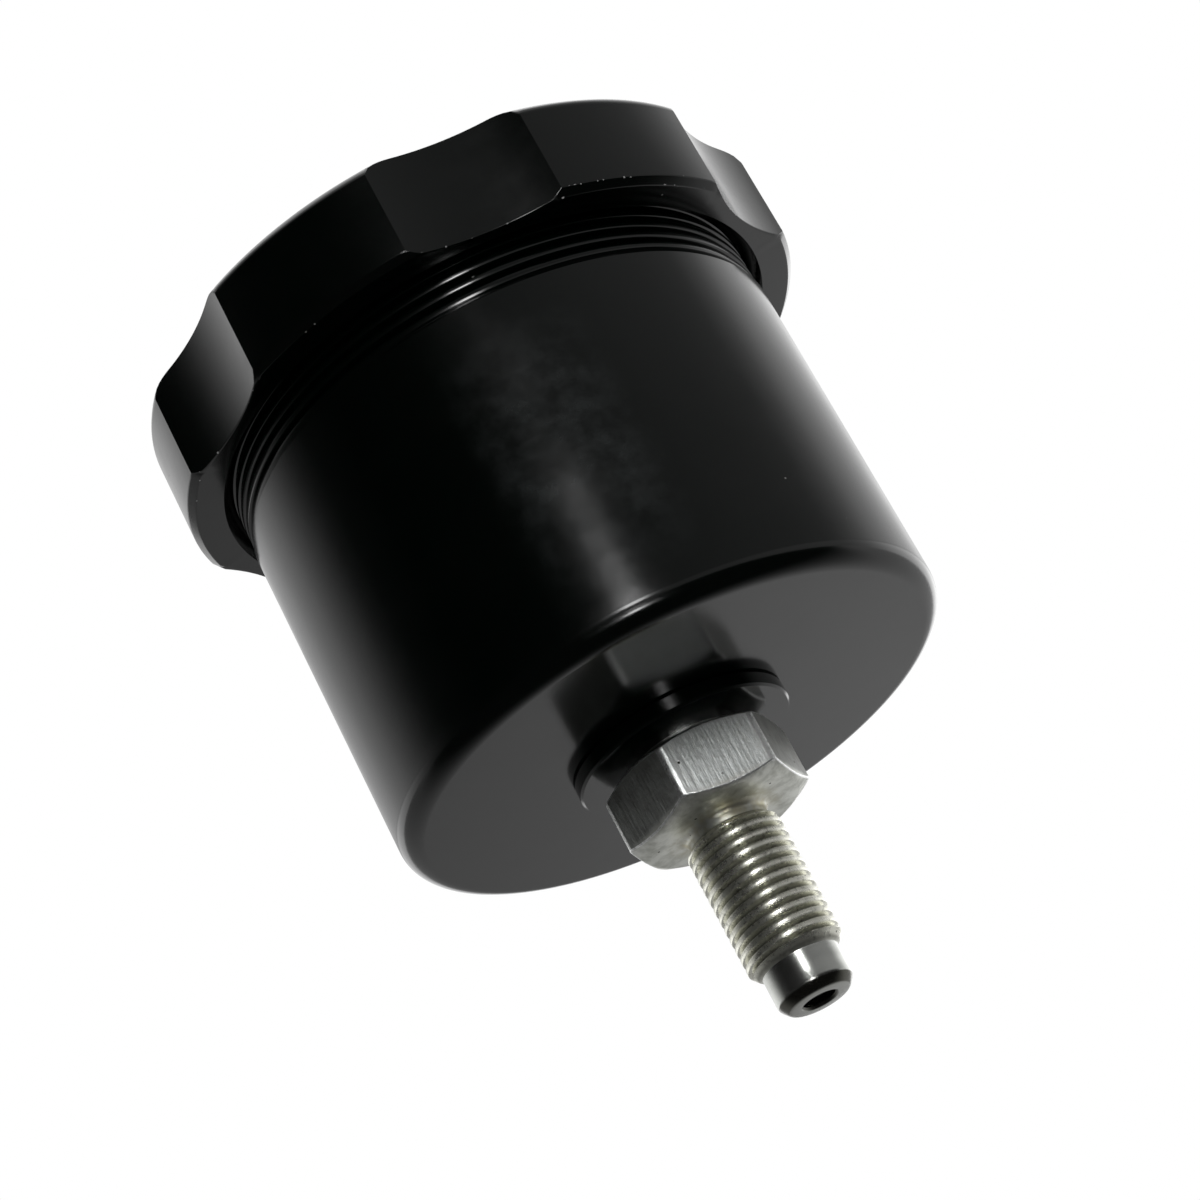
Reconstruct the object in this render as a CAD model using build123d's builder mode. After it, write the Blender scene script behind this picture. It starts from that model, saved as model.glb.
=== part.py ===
from build123d import *
import os
from math import asin, degrees, pi, radians, sqrt, tan

# Brake fluid reservoir turned from bar: a screw cap with six grip flutes, a plain barrel,
# and a steel outlet fitting with a hexagon under its base.
# Millimetres. +Z points up through the cap. The origin is on the axis, at the upper end
# of the outlet's threaded shank, so the shank hangs from z = 0 towards -Z.

# Outlet fitting
outlet_thread_diameter = 11.11
outlet_thread_length = 15.2
relief_diameter = 9.5
relief_length = 1.45
fluid_bore_diameter = 3.8
nose_diameter = 8.9
nose_cone_length = 1.5
nose_length = 3.25
tip_face_diameter = 5.7
tip_taper_length = 1.05
hex_across_flats = 19.05
hex_height = 8.15
hex_chamfer_angle = 27.0
hex_face_share = 0.93
hex_turn = 46.5
shoulder_diameter = 13.6
shoulder_height = 1.1
shank_gap_below_floor = 0.8
shank_chamfer = 0.8

# Base washer and its ring seal
washer_diameter = 25.4
washer_thickness = 1.9
washer_edge_chamfer = 0.25
seal_section = 1.8

# Body
body_diameter = 65.5
base_edge_radius = 2.4
barrel_length = 41.85
cap_thread_diameter = 65.0
cap_thread_length = 11.9
cap_thread_pitch = 1.5
rim_chamfer = 0.7
rim_wall = 4.0
base_thickness = 9.0
floor_edge_radius = 2.5
drain_dish_diameter = 22.0
drain_dish_depth = 0.7

# Rubber bellows under the cap, and the slip ring that the cap turns on
flange_inset = 0.5
flange_thickness = 1.6
rubber_wall = 1.4
fold_depth = 4.6
fold_pitch = 5.0
fold_count = 3
fold_corner_radius = 1.0
neck_length = 4.5
slip_ring_thickness = 1.0
slip_ring_width = 5.6

# Cap
cap_height = 12.75
cap_roof_thickness = 3.25
cap_top_radius = 1.6
cap_bottom_chamfer = 0.75
cap_mouth_chamfer = 1.42
cap_wall = 4.1
roof_recess_depth = 0.9
vent_diameter = 2.0
flute_count = 6
flute_width = 18.1
flute_depth = 2.57
flute_turn = 42.2

# Clearances, measured on the radius or across flat faces
thread_clearance = 0.08
shank_clearance = 0.05
washer_clearance = 0.2
seal_clearance = 0.02
rubber_clearance = 0.2
slip_ring_clearance = 0.25
turning_gap = 0.05

# Heights that follow from the sizes above, from the outlet up to the cap
hex_bottom = relief_length
hex_top = hex_bottom + hex_height
washer_bottom = hex_top + shoulder_height
body_bottom = washer_bottom + washer_thickness
chamber_floor = body_bottom + base_thickness
barrel_top = body_bottom + barrel_length
rim_top = barrel_top + cap_thread_length
slip_ring_bottom = rim_top + flange_thickness + turning_gap
cap_ceiling = slip_ring_bottom + slip_ring_thickness + turning_gap
cap_top = cap_ceiling + cap_roof_thickness
cap_bottom = cap_top - cap_height
shank_top = chamber_floor - shank_gap_below_floor
thread_bottom = -outlet_thread_length
nose_top = thread_bottom - nose_cone_length
tip_top = nose_top - nose_length
tip_bottom = tip_top - tip_taper_length

# Radii used by more than one piece
shank_radius = outlet_thread_diameter / 2
washer_bore_radius = shank_radius + washer_clearance
cap_thread_radius = cap_thread_diameter / 2
cap_bore_radius = cap_thread_radius + thread_clearance
thread_step = body_diameter / 2 - cap_thread_radius
chamber_radius = cap_thread_radius - rim_wall
mouth_radius = cap_bore_radius + cap_mouth_chamfer
cap_radius = mouth_radius + cap_wall


def save(piece, name):
    piece.part.label = name
    export_step(piece.part, f"parts/{name}.step")


os.makedirs("parts", exist_ok=True)

# Outlet fitting: a hexagon bar turned down to a shank above and a threaded spigot below
hex_corner_radius = hex_across_flats / 2 / (sqrt(3) / 2)
hex_face_radius = hex_across_flats / 2 * hex_face_share
hex_slope = (hex_corner_radius - hex_face_radius) * tan(radians(hex_chamfer_angle))

with BuildPart() as outlet_fitting:
    with BuildSketch(Plane.XY.offset(hex_bottom)):
        RegularPolygon(hex_across_flats / 2, 6, major_radius=False, rotation=hex_turn)
    extrude(amount=hex_height)
    with BuildSketch(Plane.XZ):
        Polygon(
            (0, hex_bottom),
            (hex_face_radius, hex_bottom),
            (hex_corner_radius, hex_bottom + hex_slope),
            (hex_corner_radius, hex_top - hex_slope),
            (hex_face_radius, hex_top),
            (0, hex_top),
            align=None,
        )
    revolve(axis=Axis.Z, mode=Mode.INTERSECT)
    with BuildSketch(Plane.XZ):
        Polygon(
            (0, hex_bottom),
            (relief_diameter / 2, hex_bottom),
            (relief_diameter / 2, 0),
            (shank_radius, 0),
            (shank_radius, thread_bottom),
            (nose_diameter / 2, nose_top),
            (nose_diameter / 2, tip_top),
            (tip_face_diameter / 2, tip_bottom),
            (0, tip_bottom),
            align=None,
        )
    revolve(axis=Axis.Z)
    with BuildSketch(Plane.XZ):
        Polygon(
            (0, hex_top),
            (shoulder_diameter / 2, hex_top),
            (shoulder_diameter / 2, washer_bottom),
            (shank_radius, washer_bottom),
            (shank_radius, shank_top - shank_chamfer),
            (shank_radius - shank_chamfer, shank_top),
            (0, shank_top),
            align=None,
        )
    revolve(axis=Axis.Z)
    with BuildSketch(Plane.XY.offset(tip_bottom)):
        Circle(fluid_bore_diameter / 2)
    extrude(amount=shank_top - tip_bottom, mode=Mode.SUBTRACT)
save(outlet_fitting, "outlet_fitting")

# Base washer: clamped between the fitting's shoulder and the underside of the body
with BuildPart() as base_washer:
    with BuildSketch(Plane.XY.offset(washer_bottom)):
        Circle(washer_diameter / 2)
        Circle(washer_bore_radius, mode=Mode.SUBTRACT)
    extrude(amount=washer_thickness)
    rim_edges = base_washer.edges().filter_by(GeomType.CIRCLE).group_by(SortBy.RADIUS)[-1]
    chamfer(rim_edges, washer_edge_chamfer)
save(base_washer, "base_washer")

# Ring seal: sits round the shank in a counterbore of the body and is squeezed by the washer
seal_radius = seal_section / 2 - seal_clearance
seal_centre_radius = shank_radius + seal_clearance + seal_radius
seal_pocket_radius = seal_centre_radius + seal_radius + seal_clearance

with BuildPart() as base_seal:
    with BuildSketch(Plane.XZ):
        with Locations((seal_centre_radius, body_bottom + seal_section / 2)):
            Circle(seal_radius)
    revolve(axis=Axis.Z)
save(base_seal, "base_seal")

# Body: one turned piece with a thick base, open at the rim
with BuildPart() as body:
    with BuildSketch(Plane.XZ):
        Polygon(
            (0, body_bottom),
            (body_diameter / 2, body_bottom),
            (body_diameter / 2, barrel_top - thread_step),
            (cap_thread_radius, barrel_top),
            (cap_thread_radius, rim_top - rim_chamfer),
            (cap_thread_radius - rim_chamfer, rim_top),
            (chamber_radius, rim_top),
            (chamber_radius, chamber_floor),
            (drain_dish_diameter / 2, chamber_floor),
            (0, chamber_floor - drain_dish_depth),
            align=None,
        )
    revolve(axis=Axis.Z)
    rounds = body.edges().filter_by(GeomType.CIRCLE)
    underside_edge = rounds.group_by(Axis.Z)[0].sort_by(SortBy.RADIUS)[-1]
    fillet(underside_edge, base_edge_radius)
    floor_edges = body.edges().filter_by(GeomType.CIRCLE).filter_by_position(
        Axis.Z, chamber_floor - turning_gap, chamber_floor + turning_gap)
    fillet(floor_edges.sort_by(SortBy.RADIUS)[-1], floor_edge_radius)
    with BuildSketch(Plane.XY.offset(body_bottom)):
        Circle(shank_radius + shank_clearance)
    extrude(amount=base_thickness, mode=Mode.SUBTRACT)
    with BuildSketch(Plane.XY.offset(body_bottom)):
        Circle(seal_pocket_radius)
    extrude(amount=seal_section, mode=Mode.SUBTRACT)
save(body, "body")

# Bellows: a rubber cup whose flange is pinched on the rim and whose folds hang in the fluid
neck_radius = chamber_radius - rubber_clearance - rubber_wall / 2
flange_middle = rim_top + flange_thickness / 2
fold_route = [(neck_radius, flange_middle), (neck_radius, rim_top - neck_length)]
for fold in range(fold_count):
    fold_top = rim_top - neck_length - fold * fold_pitch
    fold_route.append((neck_radius - fold_depth, fold_top - fold_pitch / 2))
    if fold < fold_count - 1:
        fold_route.append((neck_radius, fold_top - fold_pitch))
bellows_bottom = fold_route[-1][1] - fold_pitch / 2
floor_radius = neck_radius - fold_depth
fold_route.append((floor_radius, bellows_bottom))
fold_route.append((floor_radius - 3 * fold_corner_radius, bellows_bottom))
flange_inner_radius = neck_radius - rubber_wall / 2
flange_width = cap_thread_radius - rim_chamfer - flange_inset - flange_inner_radius

with BuildPart() as bellows:
    with BuildSketch(Plane.XZ):
        with BuildLine() as fold_line:
            FilletPolyline(*fold_route, radius=fold_corner_radius)
        trace(fold_line.line, line_width=rubber_wall)
        with Locations((flange_inner_radius + flange_width / 2, flange_middle)):
            Rectangle(flange_width, flange_thickness)
        with Locations((0, bellows_bottom)):
            Rectangle(floor_radius - 2 * fold_corner_radius, rubber_wall, align=(Align.MIN, Align.CENTER))
    revolve(axis=Axis.Z)
save(bellows, "bellows")

# Slip ring: a flat plastic ring held up in the cap, so that the turning cap doesn't twist
# the rubber flange
slip_ring_radius = cap_bore_radius - slip_ring_clearance

with BuildPart() as slip_ring:
    with BuildSketch(Plane.XY.offset(slip_ring_bottom)):
        Circle(slip_ring_radius)
        Circle(slip_ring_radius - slip_ring_width, mode=Mode.SUBTRACT)
    extrude(amount=slip_ring_thickness)
save(slip_ring, "slip_ring")

# Cap: turned first, then the grip flutes are cut straight down its side
recess_radius = slip_ring_radius - slip_ring_width
flute_edge_radius = sqrt(cap_radius**2 - (flute_width / 2) ** 2)
flute_sag = flute_edge_radius - (cap_radius - flute_depth)
flute_cutter_radius = ((flute_width / 2) ** 2 + flute_sag**2) / (2 * flute_sag)

with BuildPart() as cap:
    with BuildSketch(Plane.XZ) as cap_section:
        Polygon(
            (0, cap_top),
            (cap_radius, cap_top),
            (cap_radius, cap_bottom + cap_bottom_chamfer),
            (cap_radius - cap_bottom_chamfer, cap_bottom),
            (mouth_radius, cap_bottom),
            (cap_bore_radius, cap_bottom + cap_mouth_chamfer),
            (cap_bore_radius, cap_ceiling),
            (recess_radius, cap_ceiling),
            (recess_radius, cap_ceiling + roof_recess_depth),
            (0, cap_ceiling + roof_recess_depth),
            align=None,
        )
        top_corner = cap_section.vertices().group_by(Axis.Y)[-1].sort_by(Axis.X)[-1]
        fillet(top_corner, cap_top_radius)
    revolve(axis=Axis.Z)
    with BuildSketch(Plane.XY.offset(cap_bottom)):
        cutter_centre = cap_radius - flute_depth + flute_cutter_radius
        with PolarLocations(cutter_centre, flute_count, start_angle=flute_turn):
            Circle(flute_cutter_radius)
    extrude(amount=cap_height, mode=Mode.SUBTRACT)
    with BuildSketch(Plane.XY.offset(cap_ceiling)):
        Circle(vent_diameter / 2)
    extrude(amount=cap_roof_thickness, mode=Mode.SUBTRACT)
save(cap, "cap")

# Facts about the finished piece, for whoever changes a size
lift_per_radian = cap_thread_pitch / (2 * pi)
turns_to_free = (rim_top - cap_bottom - cap_mouth_chamfer) / cap_thread_pitch
flute_angle = 2 * degrees(asin(flute_width / 2 / cap_radius))
print(f"height {cap_top - tip_bottom:.2f} mm, from {tip_bottom:.2f} to {cap_top:.2f}")
print(f"cap lift {lift_per_radian:.5f} mm per radian, free after {turns_to_free:.2f} turns")
print(f"flute {flute_angle:.1f} degrees wide, cutter radius {flute_cutter_radius:.2f} mm")
print(f"chamber floor {chamber_floor:.2f}, bellows bottom {bellows_bottom:.2f}, rim {rim_top:.2f}")
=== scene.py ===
import logging
import math
from dataclasses import dataclass
from enum import Enum
from typing import Callable, Iterable, Optional, Union

import bmesh
import bpy
from mathutils import Matrix, Vector


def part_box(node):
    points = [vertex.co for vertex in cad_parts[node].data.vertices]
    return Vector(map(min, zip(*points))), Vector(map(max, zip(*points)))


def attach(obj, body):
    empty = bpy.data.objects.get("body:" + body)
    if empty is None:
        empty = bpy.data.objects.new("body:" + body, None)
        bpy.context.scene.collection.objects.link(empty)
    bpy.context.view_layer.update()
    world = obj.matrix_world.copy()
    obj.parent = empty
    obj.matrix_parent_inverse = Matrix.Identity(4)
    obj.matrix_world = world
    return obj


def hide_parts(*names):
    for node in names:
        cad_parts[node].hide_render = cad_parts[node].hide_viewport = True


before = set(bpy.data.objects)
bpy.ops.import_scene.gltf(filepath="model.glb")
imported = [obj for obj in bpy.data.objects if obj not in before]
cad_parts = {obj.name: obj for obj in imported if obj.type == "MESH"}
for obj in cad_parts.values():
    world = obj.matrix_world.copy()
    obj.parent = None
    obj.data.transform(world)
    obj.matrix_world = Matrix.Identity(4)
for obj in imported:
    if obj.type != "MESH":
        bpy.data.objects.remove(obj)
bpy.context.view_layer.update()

LOG = logging.getLogger("reservoir")
MM = 0.001
FULL_TURN = 2 * math.pi
ORIGIN = (0.0, 0.0, 0.0)
UP = (0.0, 0.0, 1.0)
WHITE = (1.0, 1.0, 1.0, 1.0)
EDGE_WEAR = "edge_wear"
SHARP_ANGLE = math.radians(20)
LEVEL_BAND = 0.02


class Slot(Enum):
    """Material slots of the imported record."""

    ANODISED = "black_anodised"
    PLATED = "plated_steel"
    RUBBER = "black_rubber"
    ACETAL = "slip_plastic"


class Body(Enum):
    """Bodies of the frame that the pieces ride on."""

    RESERVOIR = "reservoir"
    RING = "ring"
    SCREW_CAP = "screw_cap"


@dataclass(frozen=True)
class Extent:
    """Radius, bottom and top of a turned CAD node, in millimetres."""

    radius: float
    bottom: float
    top: float

    @staticmethod
    def of(node: str) -> "Extent":
        """Reads the extent of a node from the frame.

        Args:
            node: Name of the CAD node.

        Returns:
            Its radius about the Z axis and its two heights.
        """
        low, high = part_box(node)
        return Extent(high.x / MM, low.z / MM, high.z / MM)


class Outline:
    """Half section of a turned piece, drawn point by point as radius and height in millimetres."""

    def __init__(self, radius: float, height: float) -> None:
        """Starts the outline at a point."""
        self.points: list[tuple[float, float]] = [(radius, height)]

    def to(self, radius: float, height: float, pieces: int = 1) -> "Outline":
        """Adds a straight run.

        Args:
            radius: Radius of the run's end.
            height: Height of the run's end.
            pieces: Number of equal pieces that the run is cut in.

        Returns:
            The outline itself, so that calls can follow one another.
        """
        from_radius, from_height = self.points[-1]
        for step in range(1, pieces + 1):
            share = step / pieces
            self.points.append((from_radius + (radius - from_radius) * share,
                                from_height + (height - from_height) * share))
        return self

    def arc(self, radius: float, height: float, size: float, start: float, end: float,
            pieces: int) -> "Outline":
        """Adds a round from one direction to another.

        Args:
            radius: Radius of the round's centre.
            height: Height of the round's centre.
            size: Radius of the round itself.
            start: Direction of its first point in degrees, 0 outwards and 90 up.
            end: Direction of its last point in degrees.
            pieces: Number of chords.

        Returns:
            The outline itself.
        """
        for step in range(pieces + 1):
            turn = math.radians(start + (end - start) * step / pieces)
            self.points.append((radius + size * math.cos(turn), height + size * math.sin(turn)))
        return self

    def round_corners(self, size: float, pieces: int) -> "Outline":
        """Rounds every inner corner of the outline.

        Args:
            size: Radius of the rounds.
            pieces: Number of chords of each round.

        Returns:
            A new outline with the rounds in place of the corners.
        """
        rounded = Outline(*self.points[0])
        for before, corner, after in zip(self.points, self.points[1:], self.points[2:]):
            here = Vector(corner)
            back = (Vector(before) - here).normalized()
            ahead = (Vector(after) - here).normalized()
            half = back.angle(ahead) / 2
            centre = here + (back + ahead).normalized() * size / math.sin(half)
            start = here + back * size / math.tan(half) - centre
            sweep = -start.angle_signed(here + ahead * size / math.tan(half) - centre)
            for step in range(pieces + 1):
                spoke = Matrix.Rotation(sweep * step / pieces, 2) @ start
                rounded.points.append(tuple(centre + spoke))
        rounded.points.append(self.points[-1])
        return rounded


def off_axis(vert: bmesh.types.BMVert) -> float:
    """Gives a point's distance from the axis, in millimetres."""
    return math.hypot(vert.co.x, vert.co.y) / MM


def snapped_angle(vert: bmesh.types.BMVert, start: float, steps: int) -> float:
    """Gives the direction of a point of a spun mesh, without the drift that the turn adds up.

    Args:
        vert: The point.
        start: Direction of the first section, in radians.
        steps: Number of steps in the turn.

    Returns:
        The nearest direction of a section, in radians.
    """
    step = FULL_TURN / steps
    return start + round((math.atan2(vert.co.y, vert.co.x) - start) / step) * step


def at_form(form: Callable[[float, float], float], height: float, angle: float) -> Vector:
    """Gives the place of a point on a wall whose radius follows a rule.

    Args:
        form: Radius of the wall for a height and an angle.
        height: Height in millimetres.
        angle: Direction in radians.

    Returns:
        The place, in metres.
    """
    radius = form(height, angle)
    return Vector((radius * math.cos(angle), radius * math.sin(angle), height)) * MM


def turned(outline: Outline, steps: int, start: float = 0.0, closed: bool = True) -> bmesh.types.BMesh:
    """Turns an outline once about the Z axis.

    Args:
        outline: The half section.
        steps: Number of steps in the turn.
        start: Direction of the first section, in radians.
        closed: Whether the outline's last point joins its first.

    Returns:
        The turned mesh, in metres.
    """
    mesh = bmesh.new()
    verts = [mesh.verts.new((radius * MM, 0.0, height * MM)) for radius, height in outline.points]
    edges = [mesh.edges.new(pair) for pair in zip(verts, verts[1:])]
    if closed:
        edges.append(mesh.edges.new((verts[-1], verts[0])))
    bmesh.ops.rotate(mesh, cent=ORIGIN, matrix=Matrix.Rotation(start, 3, "Z"), verts=verts)
    bmesh.ops.spin(mesh, geom=verts + edges, cent=ORIGIN, axis=UP, angle=FULL_TURN, steps=steps,
                   use_merge=True)
    for vert in mesh.verts:
        radius, angle = math.hypot(vert.co.x, vert.co.y), snapped_angle(vert, start, steps)
        vert.co = Vector((radius * math.cos(angle), radius * math.sin(angle), vert.co.z))
    return mesh


def joined(parts: Iterable[bmesh.types.BMesh], weld: float = 0.003) -> bmesh.types.BMesh:
    """Puts meshes together and welds the points that meet.

    Args:
        parts: Meshes to join; they are freed.
        weld: Distance in millimetres within which points are welded.

    Returns:
        One mesh with its faces pointing outwards.
    """
    whole = bmesh.new()
    for part in parts:
        carrier = bpy.data.meshes.new("carrier")
        part.to_mesh(carrier)
        whole.from_mesh(carrier)
        bpy.data.meshes.remove(carrier)
        part.free()
    bmesh.ops.remove_doubles(whole, verts=whole.verts, dist=weld * MM)
    bmesh.ops.recalc_face_normals(whole, faces=whole.faces)
    return whole


@dataclass(frozen=True)
class Thread:
    """Right-handed screw thread with rounded crests, in millimetres.

    A groove lies at `groove_height` on the side of +X. The crests take up `crest_share` of
    the pitch and are rounded by `crown`. A sheet has `rows` points in a pitch.
    """

    crest: float
    root: float
    pitch: float
    groove_height: float
    crest_share: float
    crown: float
    rows: int = 18

    def radius(self, height: float, angle: float) -> float:
        """Gives the radius of the thread's surface.

        Args:
            height: Height in millimetres.
            angle: Direction in radians.

        Returns:
            The radius, from the crowned crest down a rounded flank to the root.
        """
        phase = ((height - self.groove_height) / self.pitch - angle / FULL_TURN) % 1.0
        off_crest = abs(phase - 0.5) * 2
        if off_crest < self.crest_share:
            return self.crest - self.crown * (off_crest / self.crest_share) ** 2
        depth = (off_crest - self.crest_share) / (1 - self.crest_share)
        eased = 0.5 - 0.5 * math.cos(math.pi * depth)
        shoulder = self.crest - self.crown
        return shoulder - (shoulder - self.root) * eased

    def snapped(self, low: float, high: float, steps: int) -> float:
        """Moves an upper height so that a sheet's cut passes through its points.

        Args:
            low: Lower height of the sheet.
            high: Wanted upper height.
            steps: Number of steps in a turn.

        Returns:
            The nearest height that lies a whole number of rises above the lower one.
        """
        rise = self.pitch / steps
        return low + round((high - low) / rise) * rise

    def sheet(self, low: float, high: float, steps: int, start: float,
              form: Callable[[float, float], float]) -> bmesh.types.BMesh:
        """Makes the threaded wall between two heights as one helical sheet.

        Args:
            low: Lower height.
            high: Upper height, as `snapped` gives it.
            steps: Number of steps in a turn.
            start: Direction of the first section, in radians.
            form: Radius of the wall for a height and an angle; constant at both ends.

        Returns:
            The sheet, cut level at both heights.
        """
        mesh = bmesh.new()
        row = self.pitch / self.rows
        count = math.ceil((high - low + self.pitch) / row) + 2
        first = low - self.pitch
        verts = [mesh.verts.new((self.crest * MM, 0.0, (first + row * step) * MM)) for step in range(count)]
        edges = [mesh.edges.new(pair) for pair in zip(verts, verts[1:])]
        bmesh.ops.rotate(mesh, cent=ORIGIN, matrix=Matrix.Rotation(start, 3, "Z"), verts=verts)
        bmesh.ops.spin(mesh, geom=verts + edges, cent=ORIGIN, axis=UP, angle=FULL_TURN, steps=steps,
                       dvec=(0.0, 0.0, self.pitch / steps * MM))
        bmesh.ops.remove_doubles(mesh, verts=mesh.verts, dist=row * MM / 20)
        rise = self.pitch / steps
        for vert in mesh.verts:
            height = first + round((vert.co.z / MM - first) / rise) * rise
            vert.co = at_form(form, height, snapped_angle(vert, start, steps))
        for height, below in ((low, True), (high, False)):
            geometry = mesh.verts[:] + mesh.edges[:] + mesh.faces[:]
            cut = bmesh.ops.bisect_plane(mesh, geom=geometry, dist=row * MM / 100, plane_no=UP,
                                         plane_co=(0.0, 0.0, height * MM), clear_inner=below,
                                         clear_outer=not below)
            for vert in [part for part in cut["geom_cut"] if isinstance(part, bmesh.types.BMVert)]:
                vert.co = at_form(form, height, snapped_angle(vert, start, steps))
        return mesh


def soften(mesh: bmesh.types.BMesh, edges: list[bmesh.types.BMEdge], width: float,
           segments: int = 2) -> list[bmesh.types.BMFace]:
    """Breaks sharp edges with a narrow round.

    Args:
        mesh: The mesh to change.
        edges: Edges to break.
        width: Width of the round in millimetres.
        segments: Number of strips across it.

    Returns:
        The new faces along the edges.
    """
    made = bmesh.ops.bevel(mesh, geom=edges, offset=width * MM, offset_type="OFFSET", segments=segments,
                           profile=0.5, affect="EDGES", material=-1, clamp_overlap=True)
    return made["faces"]


def mark_worn(mesh: bmesh.types.BMesh, faces: list[bmesh.types.BMFace]) -> None:
    """Marks some faces as worn, in the attribute that the finishes read.

    Args:
        mesh: The mesh to change.
        faces: The worn faces.
    """
    layer = mesh.faces.layers.float[EDGE_WEAR]
    for face in faces:
        face[layer] = 1.0


def open_edges(mesh: bmesh.types.BMesh) -> int:
    """Counts the edges that don't join exactly two faces."""
    return sum(1 for edge in mesh.edges if len(edge.link_faces) != 2)


@dataclass(frozen=True)
class Piece:
    """How a finished mesh enters the scene."""

    name: str
    body: Body
    node: str
    slot: Slot
    sharp_angle: float = 26.0

    def place(self, mesh: bmesh.types.BMesh, material: bpy.types.Material) -> bpy.types.Object:
        """Makes the object, dresses it, ties it to its body and hides the CAD node that it replaces.

        Args:
            mesh: The finished mesh; it is freed.
            material: The finish.

        Returns:
            The new object.
        """
        limit = math.radians(self.sharp_angle)
        for face in mesh.faces:
            face.smooth = True
        for edge in mesh.edges:
            edge.smooth = len(edge.link_faces) == 2 and edge.calc_face_angle(0.0) < limit
        data = bpy.data.meshes.new(self.name)
        LOG.info("%s: %d faces, %d open edges", self.name, len(mesh.faces), open_edges(mesh))
        mesh.to_mesh(data)
        mesh.free()
        data.materials.append(material)
        piece = bpy.data.objects.new(self.name, data)
        bpy.context.scene.collection.objects.link(piece)
        shading = piece.modifiers.new("even shading", "WEIGHTED_NORMAL")
        shading.keep_sharp = True
        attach(piece, self.body.value)
        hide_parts(self.node)
        return piece


class Number:
    """A number socket of a node tree that takes part in ordinary arithmetic."""

    def __init__(self, bench: "NodeBench", socket: bpy.types.NodeSocket) -> None:
        """Wraps a socket of the bench's tree."""
        self.bench = bench
        self.socket = socket

    def __add__(self, other: "Operand") -> "Number":
        """Adds."""
        return self.bench.maths("ADD", self, other)

    def __radd__(self, other: "Operand") -> "Number":
        """Adds, with the number on the left."""
        return self.bench.maths("ADD", other, self)

    def __sub__(self, other: "Operand") -> "Number":
        """Subtracts."""
        return self.bench.maths("SUBTRACT", self, other)

    def __rsub__(self, other: "Operand") -> "Number":
        """Subtracts from the number on the left."""
        return self.bench.maths("SUBTRACT", other, self)

    def __mul__(self, other: "Operand") -> "Number":
        """Multiplies."""
        return self.bench.maths("MULTIPLY", self, other)

    def __rmul__(self, other: "Operand") -> "Number":
        """Multiplies, with the number on the left."""
        return self.bench.maths("MULTIPLY", other, self)

    def __truediv__(self, other: "Operand") -> "Number":
        """Divides."""
        return self.bench.maths("DIVIDE", self, other)

    def __pow__(self, other: "Operand") -> "Number":
        """Raises to a power."""
        return self.bench.maths("POWER", self, other)

    def between(self, low: float, high: float) -> "Number":
        """Turns the number into a mask with a smooth rise.

        Args:
            low: Where the mask is 0.
            high: Where it is 1; it may lie below the other.

        Returns:
            The mask.
        """
        made = self.bench.add("ShaderNodeMapRange", {"interpolation_type": "SMOOTHSTEP"},
                              {"Value": self, "From Min": low, "From Max": high})
        return Number(self.bench, made.outputs[0])


Operand = Union[Number, float]


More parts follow.
